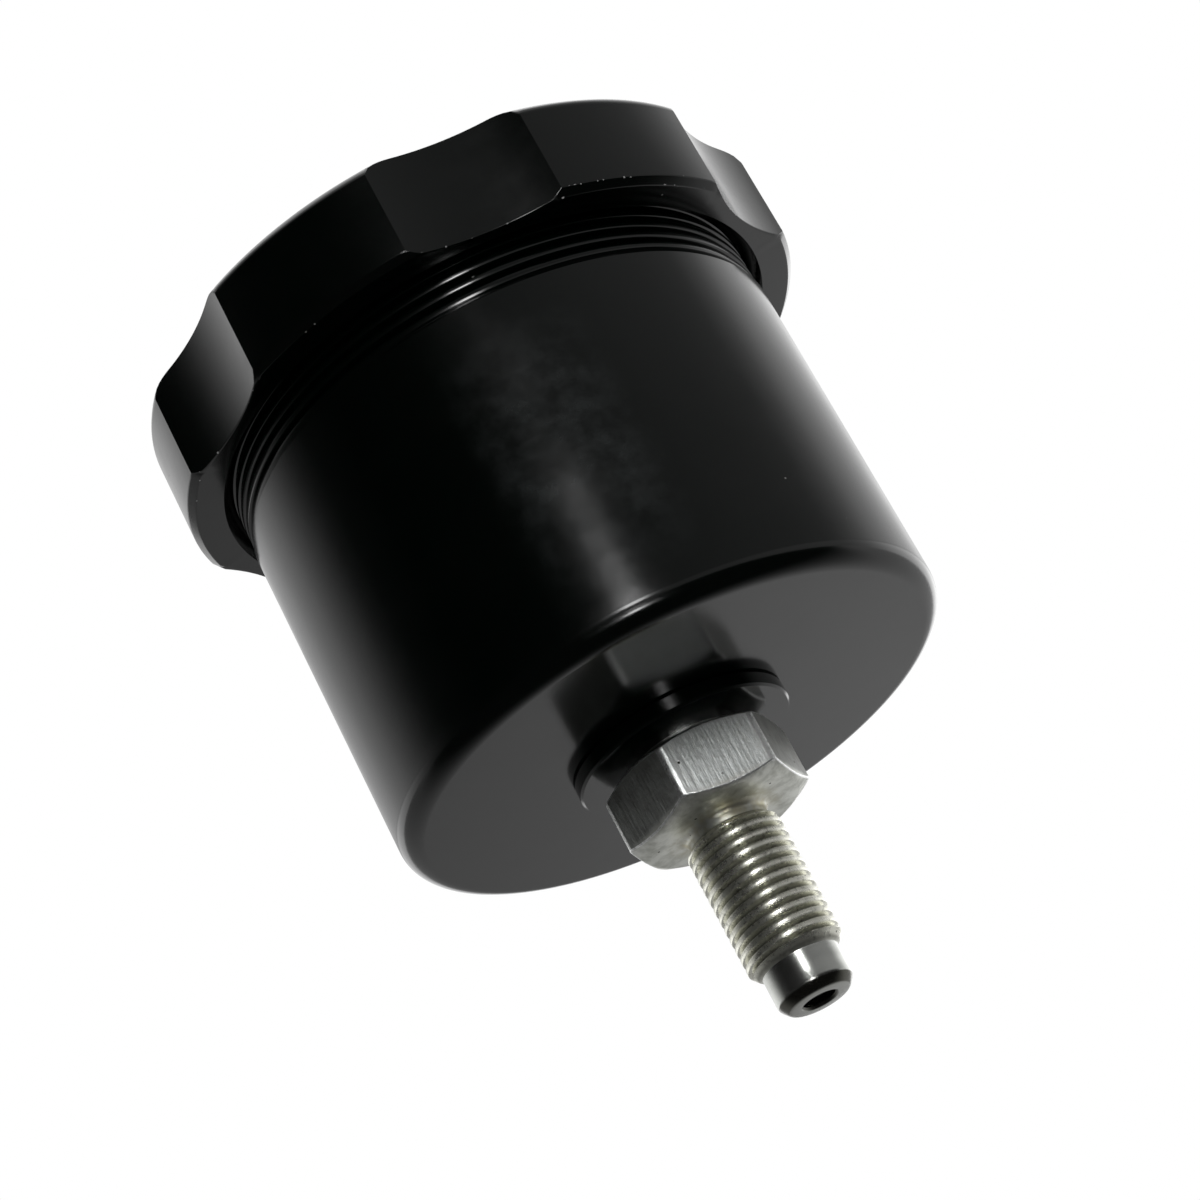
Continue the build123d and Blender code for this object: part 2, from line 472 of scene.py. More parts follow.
class NodeBench:
    """Builds the nodes of one material or world."""

    def __init__(self, tree: bpy.types.NodeTree) -> None:
        """Takes a node tree and empties it."""
        self.tree = tree
        tree.nodes.clear()

    def add(self, kind: str, settings: Optional[dict] = None,
            values: Optional[dict] = None) -> bpy.types.Node:
        """Adds a node.

        Args:
            kind: Type of the node.
            settings: Its properties, set first; "stops" are a ramp's positions and greys.
            values: Values or links of its sockets, by name or number.

        Returns:
            The node.
        """
        node = self.tree.nodes.new(kind)
        for name, value in (settings or {}).items():
            if name == "stops":
                self._set_stops(node.color_ramp, value)
            else:
                setattr(node, name, value)
        for name, value in (values or {}).items():
            if isinstance(value, Number):
                self.tree.links.new(value.socket, node.inputs[name])
            elif isinstance(value, bpy.types.NodeSocket):
                self.tree.links.new(value, node.inputs[name])
            else:
                node.inputs[name].default_value = value
        return node

    @staticmethod
    def _set_stops(ramp: bpy.types.ColorRamp, stops: list[tuple[float, float]]) -> None:
        """Sets a ramp's stops.

        Args:
            ramp: The ramp.
            stops: Positions and greys.
        """
        while len(ramp.elements) < len(stops):
            ramp.elements.new(1.0)
        for element, (position, grey) in zip(ramp.elements, stops):
            element.position = position
            element.color = (grey, grey, grey, 1.0)

    def maths(self, operation: str, first: Operand, second: Operand = 0.0) -> Number:
        """Adds a Math node and gives its result."""
        node = self.add("ShaderNodeMath", {"operation": operation}, {0: first, 1: second})
        return Number(self, node.outputs[0])

    def attribute(self, name: str) -> Number:
        """Reads a number that the mesh carries."""
        return Number(self, self.add("ShaderNodeAttribute", {"attribute_name": name}).outputs["Fac"])

    def blend(self, share: Operand, first: object, second: object) -> bpy.types.NodeSocket:
        """Mixes two colours.

        Args:
            share: How much of the second colour shows.
            first: Colour or colour socket.
            second: Colour or colour socket.

        Returns:
            The mixed colour's socket.
        """
        node = self.add("ShaderNodeMix", {"data_type": "RGBA"}, {0: share, 6: first, 7: second})
        return node.outputs[2]

    def noise(self, vector: bpy.types.NodeSocket, scale: float, detail: float = 2.0,
              roughness: float = 0.5) -> Number:
        """Adds a noise pattern.

        Args:
            vector: Coordinates in millimetres.
            scale: Cells per millimetre.
            detail: Number of finer layers.
            roughness: Weight of the finer layers.

        Returns:
            The pattern's strength, about 0.5 on average.
        """
        node = self.add("ShaderNodeTexNoise", None,
                        {"Vector": vector, "Scale": scale, "Detail": detail, "Roughness": roughness})
        return Number(self, node.outputs[0])

    def specks(self, vector: bpy.types.NodeSocket, scale: float, size: float, kept: float) -> Number:
        """Scatters round specks.

        Args:
            vector: Coordinates in millimetres.
            scale: Cells per millimetre.
            size: Radius of the largest speck, in cells.
            kept: Share of the cells that hold a speck.

        Returns:
            1 on a speck and 0 elsewhere.
        """
        cells = self.add("ShaderNodeTexVoronoi", None, {"Vector": vector, "Scale": scale})
        split = self.add("ShaderNodeSeparateColor", None, {0: cells.outputs["Color"]})
        chosen = Number(self, split.outputs[0]).between(1 - kept, 1 - kept + 0.01)
        reach = Number(self, split.outputs[1]) * size
        inside = self.maths("LESS_THAN", Number(self, cells.outputs["Distance"]), reach)
        return chosen * inside


class RoundPart:
    """Coordinates of a turned part inside a material, in millimetres."""

    def __init__(self, bench: NodeBench) -> None:
        """Adds the coordinate nodes.

        Args:
            bench: The material's bench.
        """
        self.bench = bench
        source = bench.add("ShaderNodeTexCoord")
        grown = bench.add("ShaderNodeVectorMath", {"operation": "SCALE"},
                          {0: source.outputs["Object"], "Scale": 1 / MM})
        self.place = grown.outputs[0]
        split = bench.add("ShaderNodeSeparateXYZ", None, {0: self.place})
        self.x, self.y, self.height = (Number(bench, split.outputs[axis]) for axis in range(3))
        self.radius = (self.x * self.x + self.y * self.y) ** 0.5

    def facing(self, azimuth: float) -> Number:
        """Gives how far a place faces a direction round the axis.

        Args:
            azimuth: The direction, in degrees.

        Returns:
            1 in that direction and -1 opposite it.
        """
        return self.along(azimuth) / self.radius

    def along(self, azimuth: float) -> Number:
        """Gives the distance from the axis, measured in a direction in degrees."""
        towards = math.radians(azimuth)
        return self.x * math.cos(towards) + self.y * math.sin(towards)

    def tool_marks(self, along: float, around: float) -> bpy.types.NodeSocket:
        """Gives coordinates in which a noise becomes rings round the axis.

        Args:
            along: Cells per millimetre across the rings.
            around: Cells round the part, which let the rings fade and return.

        Returns:
            The vector socket.
        """
        swing = self.x / self.radius * around
        sway = self.y / self.radius * around
        return self.bench.add("ShaderNodeCombineXYZ", None,
                              {0: self.radius * along + swing, 1: self.height * along + sway,
                               2: sway - swing}).outputs[0]

    def stretched(self, across: float, along: float) -> bpy.types.NodeSocket:
        """Gives coordinates in which a noise becomes streaks along the axis.

        Args:
            across: Cells per millimetre across the streaks.
            along: Cells per millimetre along them.

        Returns:
            The vector socket.
        """
        return self.bench.add("ShaderNodeCombineXYZ", None,
                              {0: self.x * across, 1: self.y * across, 2: self.height * along}).outputs[0]


def new_material(name: str) -> tuple[bpy.types.Material, NodeBench]:
    """Makes an empty material.

    Args:
        name: Name of the material.

    Returns:
        The material and the bench for its nodes.
    """
    material = bpy.data.materials.new(name)
    material.use_nodes = True
    return material, NodeBench(material.node_tree)


def close_surface(bench: NodeBench, constants: dict, varying: dict, relief: Number, depth: float) -> None:
    """Adds the shader and the output of a material.

    Args:
        bench: The material's bench.
        constants: Values of the shader that are the same all over.
        varying: Values or links that change over the surface.
        relief: Height of the surface's texture, from 0 to 1.
        depth: Depth of that texture in millimetres.
    """
    bump = bench.add("ShaderNodeBump", None, {"Strength": 1.0, "Distance": depth * MM, "Height": relief})
    shader = bench.add("ShaderNodeBsdfPrincipled", None,
                       {**constants, **varying, "Normal": bump.outputs[0]})
    bench.add("ShaderNodeOutputMaterial", None, {0: shader.outputs[0]})


@dataclass(frozen=True)
class BlackAnodising:
    """Black anodised aluminium with fine turning marks, handling haze, a little dust and nicked edges.

    Heights are in millimetres. A painted sheen, a grey lighter than the black, lies on the side of the wall
    that faces the key lamp; it stands in for the lamp's soft streak there.
    """

    name: str
    roughness: float = 0.15
    polished_roughness: float = 0.17
    smoothest: float = 0.06
    polished_below: float = -1000.0
    underside_drop: float = 2.35
    underside_fade: float = 0.25
    mark_depth: float = 0.0006
    black: tuple = (0.0001, 0.0011, 0.0006, 1.0)
    dust: tuple = (0.17, 0.17, 0.165, 1.0)
    bare: tuple = (0.30, 0.30, 0.30, 1.0)
    # Grey, share, azimuth, side and heights of the painted sheen that stands in for the key lamp's soft
    # streak on the wall.
    sheen_grey: tuple = (0.024, 0.027, 0.027, 1.0)
    painted_sheen_share: float = 0.0
    painted_sheen_azimuth: float = 277.0
    painted_sheen_side: tuple = (0.955, 0.998)
    painted_sheen_foot: tuple = (14.0, 30.0)
    painted_sheen_head: tuple = (54.0, 40.0)

    def material(self) -> bpy.types.Material:
        """Builds the finish.

        Returns:
            The material.
        """
        material, bench = new_material(self.name)
        part = RoundPart(bench)
        fine = bench.noise(part.tool_marks(6.0, 0.25), 1.0, 3.0, 0.7)
        broad = bench.noise(part.tool_marks(0.9, 0.2), 1.0, 2.0)
        haze = bench.noise(part.place, 0.11, 4.0, 0.65)
        smear = bench.noise(part.place, 0.30, 3.0, 0.6)
        dust = bench.specks(part.place, 0.22, 0.036, 0.4)
        edge = bench.attribute(EDGE_WEAR)
        nicks = bench.specks(part.place, 1.7, 0.30, 0.45) * edge
        polished = part.height.between(self.polished_below + 2.0, self.polished_below)
        underside_top = self.polished_below - self.underside_drop
        underside = part.height.between(underside_top + self.underside_fade, underside_top)
        roughness = self.roughness + (self.polished_roughness - self.roughness) * polished
        roughness = roughness + (haze - 0.5) * 0.20 + (fine - 0.5) * 0.03 + (broad - 0.5) * 0.02
        roughness = bench.maths("MAXIMUM", roughness + (dust + nicks) * 0.4, self.smoothest)
        # Painted sheen: the wall side that faces the key lamp is tinted lighter between two heights,
        # standing in for the lamp's soft streak.
        painted_sheen = bench.noise(part.place, 0.28, 5.0, 0.65).between(0.32, 0.78) * self.painted_sheen_share
        painted_sheen = painted_sheen * part.facing(self.painted_sheen_azimuth).between(*self.painted_sheen_side)
        painted_sheen = painted_sheen * part.height.between(*self.painted_sheen_foot) * part.height.between(*self.painted_sheen_head)
        colour = bench.blend(painted_sheen, self.black, self.sheen_grey)
        colour = bench.blend(nicks, bench.blend(dust, colour, self.dust), self.bare)
        marks = (fine * 0.7 + broad * 0.3) * (1 + 2.5 * underside)
        close_surface(bench, {"IOR": 1.5}, {"Base Color": colour, "Roughness": roughness},
                      marks + smear * 9.0, self.mark_depth)
        return material


@dataclass(frozen=True)
class PlatedSteel:
    """Zinc plated steel, brushed on the flats, dirty in the threads, worn bright on its edges, and darkened
    with painted shade in the thread grooves, on two hexagon flats and on the tip.

    Heights and radii are in millimetres, azimuths in degrees. The two hexagon flats that get
    painted shade, either side of the flat that faces the key lamp, are named by the side that they
    are on, seen from the camera.
    """

    name: str
    thread_root: float
    thread_crest: float
    thread_top: float
    nose_top: float
    tip_top: float
    tip_bottom: float
    hex_bottom: float
    steel: tuple = (0.75, 0.76, 0.71, 1.0)
    dull: tuple = (0.52, 0.53, 0.48, 1.0)
    # Dark colour of real dirt and grime, also used for painted shade in the thread grooves, on two hexagon
    # flats and on the tip.
    dirt_and_shade: tuple = (0.056, 0.054, 0.040, 1.0)
    worn: tuple = (0.90, 0.91, 0.90, 1.0)
    bright: tuple = (0.82, 0.85, 0.85, 1.0)
    yellow: tuple = (0.62, 0.56, 0.36, 1.0)
    turned: tuple = (0.46, 0.47, 0.45, 1.0)
    ridges: tuple = (0.93, 0.92, 0.80, 1.0)
    # Azimuths of the two hexagon flats that get painted shade.
    left_azimuth: float = 226.5
    right_azimuth: float = 346.5
    face_edge: tuple = (0.84, 0.90)
    face_reach: tuple = (0.16, 0.04)
    smoothest: float = 0.09
    mark_depth: float = 0.012

    def material(self) -> bpy.types.Material:
        """Builds the finish.

        Returns:
            The material.
        """
        material, bench = new_material(self.name)
        part = RoundPart(bench)
        brushed = bench.noise(part.stretched(2.2, 0.28), 1.0, 3.0, 0.6)
        grain = bench.noise(part.place, 3.0, 4.0, 0.65)
        blotch = bench.noise(part.place, 0.55, 3.0, 0.6)
        rings = bench.noise(part.tool_marks(7.0, 0.6), 1.0, 2.0, 0.6)
        nicks = bench.specks(part.place, 0.8, 0.17, 0.2)
        edge = bench.attribute(EDGE_WEAR)
        mottle = bench.noise(part.place, 1.5, 4.0, 0.7)
        grime = bench.noise(part.place, 1.3, 4.0, 0.7).between(0.50, 0.72)
        threaded = part.height.between(self.thread_top + 0.2, self.thread_top - 0.2)
        threaded = threaded * part.height.between(self.nose_top - 0.2, self.nose_top + 0.4)
        flank = (self.thread_root + self.thread_crest) / 2
        in_groove = part.radius.between(flank, self.thread_root) * threaded
        hexagon = part.height.between(self.hex_bottom - 0.1, self.hex_bottom + 0.2)
        flats = hexagon * part.height.between(self.hex_bottom + 0.4, self.hex_bottom + 1.4)
        # Masks of the two hexagon flats that get painted shade.
        shaded_left_flat = part.facing(self.left_azimuth).between(*self.face_edge) * flats
        shaded_right_flat = part.facing(self.right_azimuth).between(*self.face_edge) * flats
        neck = part.height.between(self.hex_bottom + 0.3, self.hex_bottom - 0.3)
        neck = neck * part.height.between(self.thread_top - 1.0, self.thread_top + 0.3)
        neck = neck * part.radius.between(7.5, 5.5)
        nose = part.height.between(self.nose_top + 0.1, self.nose_top - 0.1)
        tip = part.height.between(self.tip_top + 0.05, self.tip_top - 0.05)
        end_face = (part.height - self.tip_bottom).between(*self.face_reach)
        colour = bench.blend(blotch.between(0.35, 0.7), self.steel, self.dull)
        colour = bench.blend(flats * 0.7, colour, self.bright)
        colour = bench.blend(flats * mottle.between(0.45, 0.7) * 0.4, colour, self.dull)
        # Painted shade, with some real grime: the two flats either side of the key-lit flat are darkened
        # with the brownish dirt colour.
        colour = bench.blend(shaded_left_flat * (0.45 + 0.35 * blotch), colour, self.dirt_and_shade)
        colour = bench.blend(shaded_right_flat * (0.60 + 0.28 * blotch), colour, self.dirt_and_shade)
        colour = bench.blend(neck * blotch.between(0.3, 0.7) * 0.6, colour, self.yellow)
        colour = bench.blend(threaded * 0.6, colour, self.ridges)
        # Painted shade in the thread grooves, mixed with grime: the roots are darkened all round.
        colour = bench.blend(in_groove * 0.7 * (0.5 + 0.7 * grain), colour, self.dirt_and_shade)
        colour = bench.blend(grime * threaded * 0.6, colour, self.dirt_and_shade)
        colour = bench.blend(nicks * (1 - nose), colour, self.dirt_and_shade)
        colour = bench.blend(nose * 0.8, colour, self.turned)
        # Painted shade on the tip: darkened with the dirt colour, less on its end face, standing in for the
        # dark surroundings that it reflects.
        colour = bench.blend(tip * (0.88 - 0.45 * end_face), colour, self.dirt_and_shade)
        colour = bench.blend(edge * grain.between(0.3, 0.55), colour, self.worn)
        roughness = 0.40 + (0.03 + (brushed - 0.5) * 0.3) * hexagon + (grain - 0.5) * 0.12
        roughness = roughness + in_groove * 0.2 + nicks * 0.3 - nose * 0.18 + (blotch - 0.5) * 0.12
        roughness = bench.maths("MAXIMUM", roughness - threaded * 0.12 - edge * 0.05, self.smoothest)
        relief = brushed * hexagon * 4.0 + grain * (0.5 - hexagon * 0.4 - nose * 0.4)
        relief = relief + rings * (1 - hexagon) * 0.5 + grain * edge * 1.5 + mottle * hexagon * 2.5
        metallic = 0.93 + nose * 0.05
        close_surface(bench, {}, {"Base Color": colour, "Roughness": roughness, "Metallic": metallic},
                      relief, self.mark_depth)
        return material


@dataclass(frozen=True)
class MouldedRubber:
    """Matt black rubber with a fine mould texture and a pale bloom in cloudy patches."""

    name: str
    black: tuple = (0.012, 0.012, 0.012, 1.0)
    bloom: tuple = (0.05, 0.05, 0.052, 1.0)

    def material(self) -> bpy.types.Material:
        """Builds the finish.

        Returns:
            The material.
        """
        material, bench = new_material(self.name)
        part = RoundPart(bench)
        grain = bench.noise(part.place, 6.0, 3.0, 0.6)
        cloud = bench.noise(part.place, 0.3, 3.0, 0.6)
        colour = bench.blend(cloud.between(0.45, 0.8), self.black, self.bloom)
        roughness = 0.62 + (grain - 0.5) * 0.2 + (cloud - 0.5) * 0.15
        close_surface(bench, {"IOR": 1.5}, {"Base Color": colour, "Roughness": roughness}, grain, 0.02)
        return material


@dataclass(frozen=True)
class NaturalAcetal:
    """Off-white acetal, cut from sheet, with faint turning marks and rub marks."""

    name: str
    white: tuple = (0.74, 0.73, 0.68, 1.0)
    rubbed: tuple = (0.58, 0.57, 0.52, 1.0)

    def material(self) -> bpy.types.Material:
        """Builds the finish.

        Returns:
            The material.
        """
        material, bench = new_material(self.name)
        part = RoundPart(bench)
        rings = bench.noise(part.tool_marks(4.0, 0.8), 1.0, 3.0, 0.6)
        cloud = bench.noise(part.place, 0.25, 3.0, 0.6)
        colour = bench.blend(cloud.between(0.4, 0.8), self.white, self.rubbed)
        roughness = 0.42 + (rings - 0.5) * 0.2
        close_surface(bench, {"IOR": 1.48}, {"Base Color": colour, "Roughness": roughness}, rings, 0.006)
        return material


@dataclass
class CapJoint:
    """The screw joint between the body and the cap, in millimetres."""

    thread: Thread
    clearance: float = 0.08
    steps: int = 360

    def inner_radius(self, height: float, angle: float) -> float:
        """Gives the radius of the cap's thread at a height and an angle in radians."""
        return self.thread.radius(height, angle) + self.clearance


@dataclass
class ReservoirBody:
    """The turned body with its external cap thread."""

    joint: CapJoint
    extent: Extent
    barrel_length: float = 41.85
    base_radius: float = 2.4
    chamber_radius: float = 28.5
    base_thickness: float = 9.0
    floor_radius: float = 2.5
    dish_radius: float = 11.0
    dish_depth: float = 0.7
    bore_radius: float = 5.605
    pocket_radius: float = 7.355
    pocket_depth: float = 1.8
    rim_round: float = 0.25
    runout: float = 0.55
    rim_undercut: float = 0.08
    # Share of the painted sheen on the wall side that faces the key lamp.
    painted_sheen_share: float = 0.85

    @property
    def barrel_top(self) -> float:
        """Height at which the thread starts."""
        return self.extent.bottom + self.barrel_length

    def _wall(self, height: float, angle: float) -> float:
        """Gives the radius of the threaded wall, with its runout and rim chamfer.

        Args:
            height: Height in millimetres.
            angle: Direction in radians.

        Returns:
            The radius in millimetres.
        """
        thread = self.joint.thread
        depth = thread.crest - thread.radius(height, angle)
        share = min(max((height - self.barrel_top - LEVEL_BAND) / self.runout, 0.0), 1.0)
        chamfer = thread.root - self.rim_undercut + max(self.extent.top - height, 0.0)
        return min(thread.crest - depth * share, chamfer)

    def build(self) -> bpy.types.Object:
        """Builds the body and puts it in the scene.

        Returns:
            The body's object.
        """
        thread, steps, bottom = self.joint.thread, self.joint.steps, self.extent.bottom
        top = thread.snapped(self.barrel_top, self.extent.top, steps)
        sheet = thread.sheet(self.barrel_top, top, steps, 0.0, self._wall)
        floor = bottom + self.base_thickness
        dish_slope = self.dish_depth / self.dish_radius
        step = self.extent.radius - thread.crest
        outline = Outline(thread.root - self.rim_undercut, top)
        outline.to(self.chamber_radius + self.rim_round, top)
        outline.to(self.chamber_radius, top - self.rim_round)
        outline.to(self.chamber_radius, floor + self.floor_radius, 4)
        floor_edge = self.chamber_radius - self.floor_radius
        outline.arc(floor_edge, floor + self.floor_radius, self.floor_radius, -6, -84, 8)
        outline.to(floor_edge, floor).to(self.dish_radius, floor, 3)
        outline.to(self.bore_radius, floor - dish_slope * (self.dish_radius - self.bore_radius))
        outline.to(self.bore_radius, bottom + self.pocket_depth, 2)
        outline.to(self.pocket_radius, bottom + self.pocket_depth).to(self.pocket_radius, bottom)
        base_edge = self.extent.radius - self.base_radius
        outline.to(base_edge, bottom, 6)
        outline.arc(base_edge, bottom + self.base_radius, self.base_radius, -84, -6, 13)
        outline.to(self.extent.radius, bottom + self.base_radius)
        outline.to(self.extent.radius, self.barrel_top - step, 6).to(thread.crest, self.barrel_top)
        shell = turned(outline, steps, closed=False)
        finish = BlackAnodising("body_anodising", polished_below=bottom + self.base_radius,
                                painted_sheen_share=self.painted_sheen_share)
        piece = Piece("turned_body", Body.RESERVOIR, "body", Slot.ANODISED)
        return piece.place(joined([sheet, shell]), finish.material())


@dataclass
class BaseWasher:
    """The washer clamped under the base."""

    extent: Extent
    bore_radius: float = 5.755
    chamfer: float = 0.25
    steps: int = 180

    def build(self) -> bpy.types.Object:
        """Builds the washer and puts it in the scene.

        Returns:
            The washer's object.
        """
        rim, low, high, cut = self.extent.radius, self.extent.bottom, self.extent.top, self.chamfer
        outline = Outline(self.bore_radius, low).to(rim - cut, low, 3)
        outline.to(rim, low + cut).to(rim, high - cut).to(rim - cut, high).to(self.bore_radius, high, 3)
        finish = BlackAnodising("washer_anodising")
        piece = Piece("turned_washer", Body.RESERVOIR, "base_washer", Slot.ANODISED)
        return piece.place(joined([turned(outline, self.steps)]), finish.material())


@dataclass
class BaseSeal:
    """The rubber ring in its pocket under the body."""

    extent: Extent
    steps: int = 120
    chords: int = 32

    def build(self) -> bpy.types.Object:
        """Builds the ring and puts it in the scene.

        Returns:
            The ring's object.
        """
        half = (self.extent.top - self.extent.bottom) / 2
        centre, middle = self.extent.radius - half, self.extent.bottom + half
        chord = 360 / self.chords
        outline = Outline(centre + half, middle)
        outline.arc(centre, middle, half, chord, 360 - chord, self.chords - 2)
        piece = Piece("round_seal", Body.RESERVOIR, "base_seal", Slot.RUBBER)
        return piece.place(joined([turned(outline, self.steps)]), MouldedRubber("seal_rubber").material())


@dataclass
class OutletFitting:
    """The steel fitting: shank, hexagon, threaded spigot and nose.

    The rounded edges of the tip and the nose are given as steps outwards or inwards and up.
    """

    extent: Extent
    thread: Thread
    relief_radius: float = 4.69
    relief_length: float = 1.45
    bore_radius: float = 1.9
    nose_radius: float = 4.45
    nose_cone_length: float = 1.05
    nose_length: float = 3.6
    tip_radius: float = 3.3
    tip_edge: tuple = ((0.0, 0.0), (0.26, 0.07), (0.44, 0.22))
    nose_edge: tuple = ((0.26, -0.28), (0.09, 0.0), (0.0, 0.3))
    bore_chamfer: float = 0.28
    thread_length: float = 15.3
    across_flats: float = 19.05
    hex_height: float = 8.15
    face_share: float = 0.93
    chamfer_angle: float = 27.0
    hex_turn: float = 46.5
    shoulder_radius: float = 6.8
    shoulder_height: float = 1.1
    shank_chamfer: float = 0.8
    thread_start: float = 0.8
    edge_round: float = 0.16
    corner_round: float = 0.52
    neck_flare: float = 0.9
    steps: int = 144

    @property
    def hex_top(self) -> float:
        """Height of the hexagon's upper face."""
        return self.relief_length + self.hex_height

    def _wall(self, height: float, angle: float) -> float:
        """Gives the radius of the spigot's wall between the relief and the nose cone.

        Args:
            height: Height in millimetres.
            angle: Direction in radians.

        Returns:
            The radius in millimetres.
        """
        start = self.relief_radius - height * (self.thread.crest - self.relief_radius) / self.thread_start
        slope = (self.thread.crest - self.nose_radius) / self.nose_cone_length
        cone = self.thread.crest + (height + self.thread_length) * slope
        return min(self.thread.radius(height, angle), start, cone)

    def _press_hexagon(self, mesh: bmesh.types.BMesh, corner: float) -> None:
        """Moves the points of the round collar onto the hexagon and its chamfer cones.

        Args:
            mesh: The turned fitting.
            corner: Direction of one corner, in radians.
        """
        apothem = self.across_flats / 2
        face = apothem * self.face_share
        slope = math.tan(math.radians(self.chamfer_angle))
        sector = FULL_TURN / 6
        middle = self.relief_length + self.hex_height / 2
        for vert in mesh.verts:
            radius = off_axis(vert)
            if radius < face + 0.01 or vert.co.z < 0:
                continue
            angle = math.atan2(vert.co.y, vert.co.x)
            off_face = (angle - corner) % sector - sector / 2
            flat = apothem / math.cos(off_face)
            reach = self.hex_height / 2 - (flat - face) * slope
            side = math.copysign(1.0, vert.co.z / MM - middle)
            vert.co = Vector((flat * math.cos(angle), flat * math.sin(angle), middle + side * reach)) * MM

    def _wear_edges(self, mesh: bmesh.types.BMesh) -> None:
        """Rounds the hexagon's edges and marks them as worn.

        Args:
            mesh: The fitting with its pressed hexagon.
        """
        face = self.across_flats / 2 * self.face_share

        def sharp_edges(standing: bool) -> list[bmesh.types.BMEdge]:
            """Finds the sharp edges round the flats.

            Args:
                standing: Whether to take the standing corners or the edges along the chamfers.

            Returns:
                The edges.
            """
            found = []
            for edge in mesh.edges:
                outside = all(vert.co.z > 0 and off_axis(vert) > face + 0.1 for vert in edge.verts)
                upright = abs(edge.verts[0].co.z - edge.verts[1].co.z) > MM
                if outside and upright == standing and edge.calc_face_angle(0.0) > SHARP_ANGLE:
                    found.append(edge)
            return found

        mesh.faces.layers.float.new(EDGE_WEAR)
        for standing, width in ((True, self.corner_round), (False, self.edge_round)):
            mesh.normal_update()
            mark_worn(mesh, soften(mesh, sharp_edges(standing), width, 3))

    def build(self) -> bpy.types.Object:
        """Builds the fitting and puts it in the scene.

        Returns:
            The fitting's object.
        """
        corner = math.radians(self.hex_turn + 30)
        cone_slope = (self.thread.crest - self.nose_radius) / self.nose_cone_length
        low = -self.thread_length - (self.thread.crest - self.thread.root + LEVEL_BAND) / cone_slope
        top = self.thread.snapped(low, 0.0, self.steps)
        sheet = self.thread.sheet(low, top, self.steps, corner, self._wall)
        face = self.across_flats / 2 * self.face_share
        collar = self.across_flats / 2 / math.cos(math.pi / 6)
        shank = self.thread.crest
        washer_bottom = self.hex_top + self.shoulder_height
        nose_top = -self.thread_length - self.nose_cone_length
        nose_bottom = nose_top - self.nose_length
        bottom, shank_top = self.extent.bottom, self.extent.top
        outline = Outline(self._wall(top, 0.0), top).to(self.relief_radius, LEVEL_BAND)
        flare = self.neck_flare
        outline.to(self.relief_radius, self.relief_length - flare)
        outline.arc(self.relief_radius + flare, self.relief_length - flare, flare, 170, 100, 6)
        outline.to(self.relief_radius + flare, self.relief_length).to(face, self.relief_length, 2)
        outline.to(collar, self.relief_length + 1).to(collar, self.hex_top - 1).to(face, self.hex_top)
        outline.to(self.shoulder_radius, self.hex_top).to(self.shoulder_radius, washer_bottom)
        outline.to(shank, washer_bottom).to(shank, shank_top - self.shank_chamfer, 2)
        outline.to(shank - self.shank_chamfer, shank_top).to(self.bore_radius, shank_top)
        outline.to(self.bore_radius, bottom + self.bore_chamfer, 4)
        outline.to(self.bore_radius + self.bore_chamfer, bottom)
        for outwards, rise in self.tip_edge:
            outline.to(self.tip_radius + outwards, bottom + rise)
        for inwards, rise in self.nose_edge:
            outline.to(self.nose_radius - inwards, nose_bottom + rise)
        outline.to(self.nose_radius, nose_top, 2).to(self._wall(low, 0.0), low)
        mesh = joined([sheet, turned(outline, self.steps, corner, closed=False)])
        self._press_hexagon(mesh, corner)
        self._wear_edges(mesh)
        finish = PlatedSteel("zinc_plating", thread_root=self.thread.root, thread_crest=self.thread.crest,
                             thread_top=0.0, nose_top=nose_top, tip_top=nose_bottom, tip_bottom=bottom,
                             hex_bottom=self.relief_length)
        piece = Piece("threaded_fitting", Body.RESERVOIR, "outlet_fitting", Slot.PLATED, sharp_angle=32.0)
        return piece.place(mesh, finish.material())


@dataclass
class Bellows:
    """The folded rubber cup that hangs in the fluid."""

    extent: Extent
    rim_top: float
    neck_radius: float = 27.6
    wall: float = 1.4
    flange_thickness: float = 1.6
    neck_length: float = 4.5
    fold_depth: float = 4.6
    fold_pitch: float = 5.0
    folds: int = 3
    fold_round: float = 1.0
    steps: int = 180

    def build(self) -> bpy.types.Object:
        """Builds the bellows and puts it in the scene.

        Returns:
            The bellows' object.
        """
        line = Outline(self.extent.radius - self.wall * 0.02, self.rim_top + self.flange_thickness / 2)
        line.to(self.neck_radius, self.rim_top + self.flange_thickness / 2)
        line.to(self.neck_radius, self.rim_top - self.neck_length)
        for fold in range(self.folds):
            fold_top = self.rim_top - self.neck_length - fold * self.fold_pitch
            line.to(self.neck_radius - self.fold_depth, fold_top - self.fold_pitch / 2)
            if fold < self.folds - 1:
                line.to(self.neck_radius, fold_top - self.fold_pitch)
        floor = self.extent.bottom + self.wall / 2
        line.to(self.neck_radius - self.fold_depth, floor).to(0.0, floor)
        mesh = joined([turned(line.round_corners(self.fold_round, 5), self.steps, closed=False)])
        piece = Piece("folded_bellows", Body.RESERVOIR, "bellows", Slot.RUBBER, sharp_angle=60.0)
        cup = piece.place(mesh, MouldedRubber("bellows_rubber").material())
        thickness = cup.modifiers.new("rubber wall", "SOLIDIFY")
        thickness.thickness = self.wall * MM
        thickness.offset = 0.0
        thickness.use_even_offset = True
        cup.modifiers.move(1, 0)
        return cup


